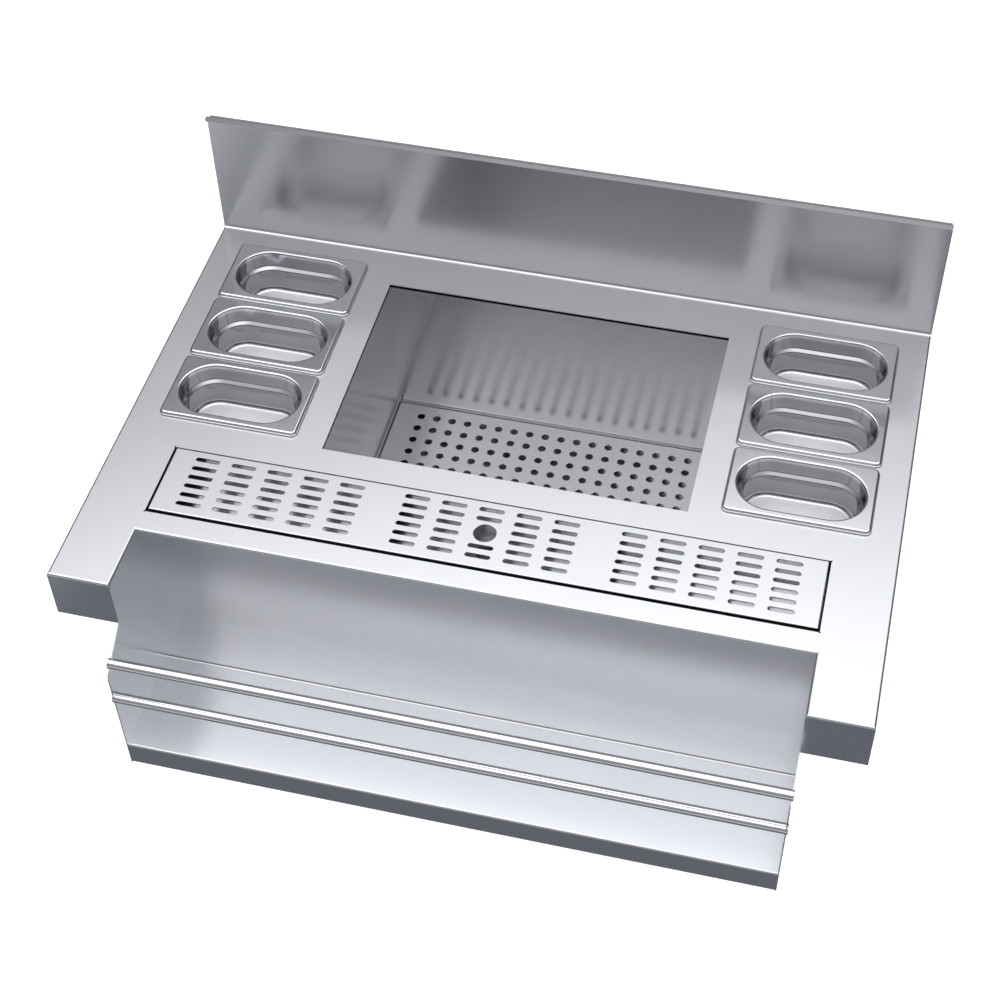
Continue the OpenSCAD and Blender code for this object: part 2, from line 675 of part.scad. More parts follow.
// Turned-down edge of the rim, with a rolled bead that stands on the worktop
module rim_edge() {
    bead_z = bead_r - bead_flat - pan_lip_h;
    bend(pan_rim_r - pan_edge_r, -pan_edge_r, pan_edge_r, pan_edge_r - pan_t, 1, 1);
    strip([pan_rim_r - pan_t, bead_z], [pan_rim_r, -pan_edge_r]);
    intersection() {
        translate([pan_rim_r + bead_out - bead_r, bead_z]) circle(bead_r);
        strip([0, -pan_lip_h], [pan_rim_r + over, bead_z + bead_r]);
    }
}
module pan() {
    a = (mouth_w - mouth_l) / 2;
    difference() {
        cup(pan_t);
        cup(0);
        translate([0, 0, -pan_edge_r]) linear_extrude(over) stadium(mouth_w + 2 * over, mouth_l + 2 * over);
    }
    for (s = [-1, 1]) {
        translate([s * a, 0, 0]) rotate(s > 0 ? -90 : 90) rotate_extrude(angle = 180) mouth_edge();
        rotate(s > 0 ? 0 : 180) along_x(-a, a) mouth_edge();
    }
    translate([0, 0, -pan_t]) linear_extrude(pan_t) difference() {
        round_rect(pan_w - 2 * pan_edge_r, pan_l - 2 * pan_edge_r, pan_rim_r - pan_edge_r);
        stadium(mouth_w + 2 * pan_edge_r, mouth_l + 2 * pan_edge_r);
    }
    round_path(pan_w, pan_l, pan_rim_r) rim_edge();
    translate([0, 0, pan_t - pan_h])
        linear_extrude(field_h) stadium(mouth_w - 2 * (pan_draft + step_w + field_in), mouth_l - 2 * (pan_draft + step_w + field_in));
}
module placed_pan(side, i) color(bright) translate([side * pan_x, pan_back_y - i * pan_pitch, pan_lip_h]) pan();
module pan_left_back() placed_pan(-1, 0);
module pan_left_middle() placed_pan(-1, 1);
module pan_left_front() placed_pan(-1, 2);
module pan_right_back() placed_pan(1, 0);
module pan_right_middle() placed_pan(1, 1);
module pan_right_front() placed_pan(1, 2);

worktop();
upstand_backing();
rear_channel();
side_rail_left();
side_rail_right();
ice_bin();
bin_insulation();
bin_casing();
bin_outlet();
bin_outlet_gasket();
bin_outlet_nut();
false_bottom();
drip_tray();
tray_outlet();
tray_outlet_gasket();
tray_outlet_nut();
drip_grate();
bottle_trough();
trough_cheek_left();
trough_cheek_right();
upper_rail();
lower_rail();
pan_left_back();
pan_left_middle();
pan_left_front();
pan_right_back();
pan_right_middle();
pan_right_front();
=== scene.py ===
from math import asin, cos, degrees, radians, sin, tan

import bmesh
import bpy
from mathutils import Matrix, Vector


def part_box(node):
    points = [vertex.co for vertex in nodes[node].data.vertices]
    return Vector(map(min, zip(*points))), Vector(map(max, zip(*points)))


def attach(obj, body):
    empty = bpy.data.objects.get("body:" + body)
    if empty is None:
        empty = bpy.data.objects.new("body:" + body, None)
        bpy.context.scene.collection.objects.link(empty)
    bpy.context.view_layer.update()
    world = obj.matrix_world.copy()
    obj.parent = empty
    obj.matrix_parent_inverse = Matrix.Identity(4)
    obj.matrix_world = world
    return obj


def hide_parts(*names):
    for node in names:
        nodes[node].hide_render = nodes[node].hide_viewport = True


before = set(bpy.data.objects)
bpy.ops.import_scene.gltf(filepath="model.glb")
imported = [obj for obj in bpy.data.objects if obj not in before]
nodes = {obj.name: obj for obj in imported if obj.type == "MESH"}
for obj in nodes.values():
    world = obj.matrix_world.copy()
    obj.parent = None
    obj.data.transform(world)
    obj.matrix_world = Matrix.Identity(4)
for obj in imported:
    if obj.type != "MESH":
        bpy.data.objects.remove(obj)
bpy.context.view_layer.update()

MM = 0.001
CREASE = 35  # degrees between faces, past which an edge is drawn sharp
WELD_GAP = 1e-6  # metres, under which two points are one


# Colours and nodes

def linear(code, alpha=1.0):
    """sRGB hex to the linear colour that Blender's sockets take."""
    parts = [int(code[i:i + 2], 16) / 255 for i in (1, 3, 5)]
    return tuple(p / 12.92 if p <= 0.04045 else ((p + 0.055) / 1.055) ** 2.4 for p in parts) + (alpha,)


def add(tree, kind, settings=None, **links):
    """Adds a node; each link is a socket's name, or its number after an underscore, with a value or an output."""
    node = tree.nodes.new(kind)
    for key, value in (settings or {}).items():
        setattr(node, key, value)
    for key, value in links.items():
        socket = node.inputs[int(key[1:]) if key[0] == "_" and key[1:].isdigit() else key.replace("_", " ")]
        if isinstance(value, bpy.types.NodeSocket):
            tree.links.new(value, socket)
        else:
            socket.default_value = value
    return node


def new_material(name):
    material = bpy.data.materials.new(name)
    material.use_nodes = True
    material.node_tree.nodes.clear()
    return material, material.node_tree


def finish_material(tree, shader):
    add(tree, "ShaderNodeOutputMaterial", Surface=shader.outputs[0])


# Meshes

def weld(mesh, gap=WELD_GAP):
    """Makes one closed skin of a mesh, with its faces turned outwards."""
    work = bmesh.new()
    work.from_mesh(mesh)
    bmesh.ops.remove_doubles(work, verts=work.verts, dist=gap)
    bmesh.ops.recalc_face_normals(work, faces=work.faces)
    work.to_mesh(mesh)
    work.free()


def round_off(mesh):
    """Smooth shading everywhere but at the creases."""
    mesh.polygons.foreach_set("use_smooth", [True] * len(mesh.polygons))
    mesh.set_sharp_from_angle(angle=radians(CREASE))


def placed(name, mesh):
    made = bpy.data.objects.new(name, mesh)
    bpy.context.scene.collection.objects.link(made)
    return made


def run_tree(body, tree, inputs):
    """The plain mesh that a geometry-nodes tree makes on an object from the given inputs."""
    modifier = body.modifiers.new(tree.name, "NODES")
    modifier.node_group = tree
    for item in tree.interface.items_tree:
        if item.item_type == "SOCKET" and item.in_out == "INPUT" and item.name in inputs:
            modifier[item.identifier] = inputs[item.name]
    body.update_tag()
    made = bpy.data.meshes.new_from_object(body.evaluated_get(bpy.context.evaluated_depsgraph_get()))
    body.modifiers.remove(modifier)
    return made


# Materials

SMUDGE_MM = 1000 / 9  # one cloud of handling on a sheet
HANDLED = 0.008  # how far such a cloud moves the roughness


def brushed_sheet(name, colour, along, roughness, anisotropy, grain_mm=0.7, run_mm=220, mottle=0.006):
    """Austenitic stainless sheet, dull-polished with a fine belt or left as rolled: scratches along one axis smear
    every reflection across them. Real ones are about 0.02 mm wide; here they are drawn grain_mm wide and faint."""
    material, tree = new_material(name)
    place = add(tree, "ShaderNodeTexCoord").outputs["Object"]
    per_m = [1000 / grain_mm] * 3
    per_m["XYZ".index(along)] = 1000 / run_mm
    stretched = add(tree, "ShaderNodeVectorMath", {"operation": "MULTIPLY"}, _0=place, _1=per_m).outputs[0]
    scratches = add(tree, "ShaderNodeTexNoise", {"noise_dimensions": "3D"}, Vector=stretched, Scale=1.0, Detail=3.0,
                    Roughness=0.6).outputs["Fac"]
    clouds = add(tree, "ShaderNodeTexNoise", Vector=place, Scale=1000 / SMUDGE_MM, Detail=2.0).outputs["Fac"]
    dull = add(tree, "ShaderNodeMapRange", Value=scratches, From_Min=0.3, From_Max=0.7,
               To_Min=roughness - mottle, To_Max=roughness + mottle).outputs[0]
    handled = add(tree, "ShaderNodeMapRange", Value=clouds, From_Min=0.35, From_Max=0.65,
                  To_Min=-HANDLED, To_Max=HANDLED).outputs[0]
    rough = add(tree, "ShaderNodeMath", {"operation": "ADD"}, _0=dull, _1=handled).outputs[0]
    bright = [c * 1.01 for c in linear(colour)[:3]] + [1.0]
    dark = [c * 0.99 for c in linear(colour)[:3]] + [1.0]
    tone = add(tree, "ShaderNodeMix", {"data_type": "RGBA"}, _0=scratches, _6=dark, _7=bright).outputs[2]
    normal = add(tree, "ShaderNodeNewGeometry").outputs["Normal"]
    axis = [float(a == along) for a in "XYZ"]
    square_to = add(tree, "ShaderNodeVectorMath", {"operation": "CROSS_PRODUCT"}, _0=normal, _1=axis).outputs[0]
    # A face square to the brushing has no direction of its own there, so a small upright share settles it
    across = add(tree, "ShaderNodeVectorMath", {"operation": "ADD"}, _0=square_to, _1=[0.0, 0.0, 0.01]).outputs[0]
    relief = add(tree, "ShaderNodeBump", Height=scratches, Strength=0.01, Distance=0.00001).outputs[0]
    shader = add(tree, "ShaderNodeBsdfPrincipled", Base_Color=tone, Metallic=1.0, Roughness=rough,
                 Anisotropic=anisotropy, Tangent=across, Normal=relief)
    finish_material(tree, shader)
    return material


def plain_metal(name, colour, roughness, cloud_mm=25, drift=0.02):
    """Buffed, turned or cast metal without a grain, with faint clouds of handling that change its gloss."""
    material, tree = new_material(name)
    place = add(tree, "ShaderNodeTexCoord").outputs["Object"]
    clouds = add(tree, "ShaderNodeTexNoise", Vector=place, Scale=1000 / cloud_mm, Detail=3.0).outputs["Fac"]
    rough = add(tree, "ShaderNodeMapRange", Value=clouds, From_Min=0.3, From_Max=0.7,
                To_Min=max(0.01, roughness - drift), To_Max=roughness + drift).outputs[0]
    bright = [c * 1.02 for c in linear(colour)[:3]] + [1.0]
    dark = [c * 0.98 for c in linear(colour)[:3]] + [1.0]
    tone = add(tree, "ShaderNodeMix", {"data_type": "RGBA"}, _0=clouds, _6=dark, _7=bright).outputs[2]
    shader = add(tree, "ShaderNodeBsdfPrincipled", Base_Color=tone, Metallic=1.0, Roughness=rough)
    finish_material(tree, shader)
    return material


def deep_drawn(name, colour, painted_wall_shade_colour, painted_floor_light_colour, wall_roughness, floor_roughness, floor_z_mm, cloud_mm=50 / 3):
    """Deep-drawn stainless pan: the die irons the steep walls to a gloss, and the floor, which it doesn't stretch,
    keeps the frosted skin of the blank, so it gathers light from all of the mouth above it. Its colour holds painted
    light and shade: steep faces inside are painted a darker grey as painted shade, and the floor is painted near white
    as painted light."""
    material, tree = new_material(name)
    place = add(tree, "ShaderNodeTexCoord").outputs["Object"]
    depth = add(tree, "ShaderNodeSeparateXYZ", Vector=place).outputs["Z"]
    low = add(tree, "ShaderNodeMapRange", {"interpolation_type": "SMOOTHSTEP"}, Value=depth,
              From_Min=(floor_z_mm + 2.2) * MM, From_Max=(floor_z_mm + 0.4) * MM).outputs[0]
    down = add(tree, "ShaderNodeMapRange", Value=low, To_Min=wall_roughness, To_Max=floor_roughness).outputs[0]
    clouds = add(tree, "ShaderNodeTexNoise", Vector=place, Scale=1000 / cloud_mm, Detail=3.0).outputs["Fac"]
    handled = add(tree, "ShaderNodeMapRange", Value=clouds, From_Min=0.3, From_Max=0.7,
                  To_Min=-0.015, To_Max=0.015).outputs[0]
    rough = add(tree, "ShaderNodeMath", {"operation": "ADD"}, _0=down, _1=handled).outputs[0]
    normal = add(tree, "ShaderNodeNewGeometry").outputs["Normal"]
    rise = add(tree, "ShaderNodeSeparateXYZ", Vector=normal).outputs["Z"]
    # Painted shade: steep faces inside the pan take the darker wall colour, while faces that look up keep the rim's
    # colour
    facing_up = add(tree, "ShaderNodeMapRange", {"interpolation_type": "SMOOTHSTEP"}, Value=rise, From_Min=0.12,
                    From_Max=0.55).outputs[0]
    inside = add(tree, "ShaderNodeMapRange", Value=depth, From_Min=0.003, From_Max=-0.002).outputs[0]
    steep = add(tree, "ShaderNodeMath", {"operation": "SUBTRACT"}, _0=1.0, _1=facing_up).outputs[0]
    painted_wall_shade = add(tree, "ShaderNodeMath", {"operation": "MULTIPLY"}, _0=steep, _1=inside).outputs[0]
    skin = add(tree, "ShaderNodeMix", {"data_type": "RGBA"}, _0=painted_wall_shade, _6=linear(colour),
               _7=linear(painted_wall_shade_colour)).outputs[2]
    drift = add(tree, "ShaderNodeMapRange", Value=clouds, To_Min=0.98, To_Max=1.02).outputs[0]
    drawn = add(tree, "ShaderNodeVectorMath", {"operation": "SCALE"}, _0=skin, Scale=drift).outputs[0]
    # Painted light: towards the floor the colour turns near white
    tone = add(tree, "ShaderNodeMix", {"data_type": "RGBA"}, _0=low, _6=drawn,
               _7=linear(painted_floor_light_colour)).outputs[2]
    shader = add(tree, "ShaderNodeBsdfPrincipled", Base_Color=tone, Metallic=1.0, Roughness=rough)
    finish_material(tree, shader)
    return material


def matt_solid(name, light, dark, grain_mm, roughness, relief_mm, gloss=0.5):
    """Foam, board or rubber: matt, with cells or moulding texture that break up the light."""
    material, tree = new_material(name)
    place = add(tree, "ShaderNodeTexCoord").outputs["Object"]
    cells = add(tree, "ShaderNodeTexNoise", Vector=place, Scale=1000 / grain_mm, Detail=4.0).outputs["Fac"]
    tone = add(tree, "ShaderNodeMix", {"data_type": "RGBA"}, _0=cells, _6=linear(dark), _7=linear(light)).outputs[2]
    relief = add(tree, "ShaderNodeBump", Height=cells, Strength=0.4, Distance=relief_mm * MM).outputs[0]
    shader = add(tree, "ShaderNodeBsdfPrincipled", Base_Color=tone, Roughness=roughness, Normal=relief,
                 Specular_IOR_Level=gloss)
    finish_material(tree, shader)
    return material


PAN_FLOOR_Z = -58.2  # where the walls of a pan end and its floor begins, in mm
# The worktop and its trough: a soft mirror that smears reflections across the sheet's length
satin_sheet = brushed_sheet("stainless_satin_sheet", "#d9dadd", "X", 0.22, 0.6)
# The bin's inside, of a slightly duller sheet, so it reads darker than the top
tub_sheet = brushed_sheet("stainless_tub_sheet", "#cfcfd0", "X", 0.24, 0.5)
# The pans: bright rims, glossy walls darkened with painted shade, and a frosted floor painted near white as painted
# light
drawn_bright = deep_drawn("stainless_deep_drawn", "#d9dadd", "#9fa0a4", "#fafafb", 0.1, 0.85, PAN_FLOOR_Z)
# The bottle rails: a white line of light between two dark ones
polished_bar = plain_metal("stainless_polished_bar", "#e4e5e8", 0.08)
# Channels and casing: sheet as it leaves the mill, grey and nearly without a mirror
mill_sheet = brushed_sheet("stainless_mill_finish", "#c4c5c8", "X", 0.36, 0.3, grain_mm=2.0, run_mm=60)
# The outlets, blasted and dull, so they stay dark under the grate
cast_fitting = plain_metal("cast_steel_fitting", "#96979b", 0.34)
# The nuts under the outlets: warm, with a broad soft highlight
nut_brass = plain_metal("turned_brass", "#c9a868", 0.28)
# Gaskets: dark grey, with a faint sheen of moulded rubber
seal_rubber = matt_solid("black_seal_rubber", "#2b2b2d", "#1c1c1e", 10 / 9, 0.75, 0.05)
# Painted shadow: black strips without sheen that stand in for the shade in narrow gaps
painted_shadow_black = matt_solid("black_painted_shadow_strip", "#0d0d0e", "#060607", 10 / 9, 0.9, 0.03, 0.05)
# Insulation: creamy and open-celled
rigid_foam = matt_solid("rigid_polyurethane_foam", "#e8dcb4", "#d5c692", 20 / 9, 0.9, 0.4)
# The board behind the upstand: flat grey
grey_board = matt_solid("grey_closed_cell_board", "#8f9195", "#7f8185", 20 / 9, 0.9, 0.4)

finishes = {
    satin_sheet: ["worktop", "false_bottom", "drip_tray", "drip_grate", "bottle_trough", "trough_cheek_left",
                  "trough_cheek_right"],
    tub_sheet: ["ice_bin"],
    drawn_bright: [n for n in nodes if n.startswith("pan_")],
    polished_bar: ["upper_rail", "lower_rail"],
    cast_fitting: ["bin_outlet", "tray_outlet"],
    mill_sheet: ["rear_channel", "side_rail_left", "side_rail_right", "bin_casing"],
    nut_brass: ["bin_outlet_nut", "tray_outlet_nut"],
    seal_rubber: ["bin_outlet_gasket", "tray_outlet_gasket"],
    rigid_foam: ["bin_insulation"],
    grey_board: ["upstand_backing"],
}
for material, names in finishes.items():
    for name in names:
        mesh = nodes[name].data
        mesh.materials.clear()
        mesh.materials.append(material)


# Garnish pans: one smooth deep-drawn skin each, lofted through outlines that follow the rim, then the mouth

def outline(half_x, half_y, radius, z, steps=12):
    """A closed outline, anticlockwise from +X: four quarter arcs joined by straight runs, in mm."""
    points = []
    for quarter in range(4):
        cx = (half_x - radius) * (1 if quarter in (0, 3) else -1)
        cy = (half_y - radius) * (1 if quarter in (0, 1) else -1)
        for step in range(steps + 1):
            turn = radians(90 * (quarter + step / steps))
            points.append((cx + radius * cos(turn), cy + radius * sin(turn), z))
    return points


def arc(centre, radius, start, end, steps):
    turns = [radians(start + (end - start) * i / steps) for i in range(steps + 1)]
    return [(centre[0] + radius * cos(t), centre[1] + radius * sin(t)) for t in turns]


def fillet(before, corner, after, radius, steps=4):
    """Points of the arc that rounds one corner of a profile."""
    u = Vector(before) - Vector(corner)
    v = Vector(after) - Vector(corner)
    u.normalize()
    v.normalize()
    half = u.angle(v) / 2
    middle = Vector(corner) + (u + v).normalized() * (radius / sin(half))
    a = Vector(corner) + u * (radius / tan(half)) - middle
    b = Vector(corner) + v * (radius / tan(half)) - middle
    points = []
    for i in range(steps + 1):
        mixed = a.lerp(b, i / steps).normalized() * radius
        points.append(tuple(middle + mixed))
    return points


# Sizes of a pan in mm, from its rim downwards. RIM and MOUTH are length, width and corner radius
RIM = (184.0, 107.0, 7.0)
MOUTH = (161.5, 86.0, 43.0)
SKIN = 0.8
FOLD_R = 2.5
LIP_H = 6.0
BEAD_R, BEAD_OUT = 1.1, 0.1  # the rolled edge of the rim, and how far its middle stands out
STEP = ((-1.0, -24.0), (-6.0, -28.0))  # stacking shoulder: inset and height of its top and of its foot
STEP_TOP_R, STEP_FOOT_R = 2.2, 2.8
FLOOR_R, FLOOR_Z, DISH = 9.0, -64.2, 1.2


def cup_profile(skin):
    """Wall, stacking shoulder and floor arc below the mouth, moved outwards by skin."""
    top, bottom = STEP
    wall = (skin, -FOLD_R)
    upper = (top[0] + skin, top[1] - skin * 0.4)
    lower = (bottom[0] + skin, bottom[1] - skin * 0.4)
    foot = (bottom[0] + skin, FLOOR_Z + FLOOR_R)
    points = [(wall[0] - 0.01, wall[1] - 0.5)]
    points += fillet(wall, upper, lower, STEP_TOP_R)
    points += fillet(upper, lower, foot, STEP_FOOT_R)
    points += arc((bottom[0] - FLOOR_R, FLOOR_Z + FLOOR_R), FLOOR_R + skin, 0, -85, 10)
    return points


def pan_profile():
    """The section as (outline, offset, z) from the foot of the bead, over the rim and down, then back outside."""
    bead_z = BEAD_R - BEAD_OUT - LIP_H
    low = degrees(asin((-LIP_H - bead_z) / BEAD_R))
    rim = arc((BEAD_OUT, bead_z), BEAD_R, low, 90, 9)
    rim += [(0.0, bead_z + BEAD_R), (0.0, -FOLD_R - 0.3)]
    rim += arc((-FOLD_R, -FOLD_R), FOLD_R, 0, 90, 6) + [(-FOLD_R - 0.5, 0.0)]
    mouth = [(FOLD_R + 0.5, 0.0)] + arc((FOLD_R, -FOLD_R), FOLD_R, 90, 180, 6) + cup_profile(0.0)
    under = cup_profile(SKIN)[::-1] + arc((FOLD_R, -FOLD_R), FOLD_R - SKIN, 180, 90, 4)
    inside = arc((-FOLD_R, -FOLD_R), FOLD_R - SKIN, 90, 0, 4) + [(-SKIN, -LIP_H + 0.4), (-0.36, -LIP_H)]
    return rim, mouth, under, inside


def loft(name, rings, material):
    """Skins a list of equal outlines, in mm, and joins the last to the first."""
    count = len(rings[0])
    verts = [(x * MM, y * MM, z * MM) for ring in rings for x, y, z in ring]
    faces = []
    for i in range(len(rings)):
        a, b = i * count, (i + 1) % len(rings) * count
        faces += [(a + j, a + (j + 1) % count, b + (j + 1) % count, b + j) for j in range(count)]
    mesh = bpy.data.meshes.new(name)
    mesh.from_pydata(verts, [], faces)
    weld(mesh)
    mesh.materials.append(material)
    round_off(mesh)
    return placed(name, mesh)


def garnish_pan(node):
    low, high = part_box(node)
    cx, cy, top = [(low[0] + high[0]) / 2 / MM, (low[1] + high[1]) / 2 / MM, high[2] / MM]
    rim, mouth, under, inside = pan_profile()

    def at(shape, offset, z):
        w, l, r = shape
        return [(x + cx, y + cy, h + top) for x, y, h in outline(w / 2 + offset, l / 2 + offset, r + offset, z)]

    foot_out, foot_z = mouth[-1]
    floor = [foot_out + (-MOUTH[2] - foot_out) * i / 6 for i in range(1, 7)]

    def sunk(offset, skin):
        left = (MOUTH[2] + offset) / (MOUTH[2] + foot_out)
        return foot_z - DISH * (1 - left * left) - skin

    rings = [at(RIM, o, z) for o, z in rim] + [at(MOUTH, o, z) for o, z in mouth]
    rings += [at(MOUTH, o, sunk(o, 0.0)) for o in floor]
    rings += [at(MOUTH, o, sunk(o, SKIN)) for o in floor[::-1]]
    rings += [at(MOUTH, o, z) for o, z in under] + [at(RIM, o, z) for o, z in inside]
    return loft("drawn_" + node, rings, drawn_bright)


for node in finishes[drawn_bright]:
    pan = garnish_pan(node)
    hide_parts(node)
    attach(pan, node)


# Bottle rails: a round bar swept along a straight path, by geometry nodes

def bar_tree():
    tree = bpy.data.node_groups.new("round_bar", "GeometryNodeTree")
    face = tree.interface
    face.new_socket("Geometry", in_out="OUTPUT", socket_type="NodeSocketGeometry")
    for name, value in (("Length", 0.8), ("Radius", 0.007)):
        face.new_socket(name, in_out="INPUT", socket_type="NodeSocketFloat").default_value = value
    face.new_socket("Finish", in_out="INPUT", socket_type="NodeSocketMaterial")
    given = add(tree, "NodeGroupInput").outputs
    half = add(tree, "ShaderNodeMath", {"operation": "MULTIPLY"}, _0=given["Length"], _1=0.5).outputs[0]
    other = add(tree, "ShaderNodeMath", {"operation": "MULTIPLY"}, _0=given["Length"], _1=-0.5).outputs[0]
    start = add(tree, "ShaderNodeCombineXYZ", X=other).outputs[0]
    end = add(tree, "ShaderNodeCombineXYZ", X=half).outputs[0]
    path = add(tree, "GeometryNodeCurvePrimitiveLine", Start=start, End=end).outputs[0]
    section = add(tree, "GeometryNodeCurvePrimitiveCircle", Resolution=48, Radius=given["Radius"]).outputs[0]
    bar = add(tree, "GeometryNodeCurveToMesh", Curve=path, Profile_Curve=section, Fill_Caps=True).outputs[0]
    real = add(tree, "GeometryNodeRealizeInstances", Geometry=bar).outputs[0]
    done = add(tree, "GeometryNodeSetMaterial", Geometry=real, Material=given["Finish"]).outputs[0]
    add(tree, "NodeGroupOutput", Geometry=done)
    return tree


def grown(name, tree, inputs, middle):
    """A piece that a tree makes from its inputs alone, with its place in its vertices."""
    seed = placed(name, bpy.data.meshes.new(name))
    made = run_tree(seed, tree, inputs)
    made.transform(Matrix.Translation(middle))
    weld(made, 2 * WELD_GAP)
    round_off(made)
    seed.data = made
    return seed


round_bar = bar_tree()
for node in ("upper_rail", "lower_rail"):
    low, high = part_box(node)
    rail = grown("polished_" + node, round_bar, {"Length": high.x - low.x, "Radius": (high.z - low.z) / 2,
                                                 "Finish": polished_bar}, (low + high) / 2)
    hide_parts(node)
    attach(rail, "station")


# Punched plates: the folded sheet is lofted, and geometry nodes punch the holes that follow a rule

FACING_AN_AXIS = 0.9999  # the largest part of a unit normal, past which a face counts as flat
PLATE_T = 1.5


def folded_sheet(name, node, thickness, fold_r, corner_r, sides, back, front, material):
    """Shallow inverted tray, as a closed skin with walls of the sheet's thickness. Its sides, back and front stand
    out from the node's box by the given mm."""
    low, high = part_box(node)
    cx, cy = (low.x + high.x) / 2 / MM, (low.y + high.y) / 2 / MM + (back - front) / 2
    hx, hy = (high.x - low.x) / 2 / MM + sides, (high.y - low.y) / 2 / MM + (back + front) / 2
    top, foot = high.z / MM, low.z / MM

    def at(inset, z):
        return [(x + cx, y + cy, h) for x, y, h in outline(hx - inset, hy - inset, max(corner_r - inset, 0.2), z, 4)]

    outer = [at(fold_r - x, top - fold_r + z) for x, z in arc((0, 0), fold_r, 0, 90, 6)]
    inner_r = fold_r - thickness
    inner = [at(fold_r - x, top - fold_r + z) for x, z in arc((0, 0), inner_r, 90, 0, 6)]
    rings = [at(0, foot)] + outer
    lower = inner + [at(thickness, foot)]
    return capped(name, rings, lower, material)


def capped(name, rings, lower, material):
    """Skins rings and lower rings into one closed sheet: the last ring and the first lower ring are filled flat."""
    count = len(rings[0])
    every = rings + lower
    verts = [(x * MM, y * MM, z * MM) for ring in every for x, y, z in ring]
    faces = []
    for i in list(range(len(rings) - 1)) + list(range(len(rings), len(every) - 1)):
        a, b = i * count, (i + 1) * count
        faces += [(a + j, a + (j + 1) % count, b + (j + 1) % count, b + j) for j in range(count)]
    last, first = (len(every) - 1) * count, 0
    faces += [(last + j, last + (j + 1) % count, first + (j + 1) % count, first + j) for j in range(count)]
    up, down = (len(rings) - 1) * count, len(rings) * count
    faces += [tuple(up + j for j in range(count)), tuple(down + j for j in reversed(range(count)))]
    mesh = bpy.data.meshes.new(name)
    mesh.from_pydata(verts, [], faces)
    weld(mesh)
    mesh.materials.append(material)
    return placed(name, mesh)


def punch(name, half_run, radius, flare, thickness, steps=8):
    """Cutter with round ends: straight through the sheet, and flared at its top face, where the punch draws the
    sheet down."""
    rings = []
    eased = flare * 0.29  # the middle of the flare's round, as far in as down
    below, above = -thickness - 2, 1.0
    for grow, z in ((0.0, below), (0.0, -flare), (eased, -eased), (flare, 0.0), (flare, above)):
        r = radius + grow
        rings.append(outline(half_run + r, r, r, z, steps))
    count = len(rings[0])
    verts = [(x * MM, y * MM, z * MM) for ring in rings for x, y, z in ring]
    faces = [(a * count + j, a * count + (j + 1) % count, (a + 1) * count + (j + 1) % count, (a + 1) * count + j)
             for a in range(len(rings) - 1) for j in range(count)]
    faces += [tuple(reversed(range(count))), tuple((len(rings) - 1) * count + j for j in range(count))]
    mesh = bpy.data.meshes.new(name)
    mesh.from_pydata(verts, [], faces)
    weld(mesh)
    return bpy.data.objects.new(name, mesh)


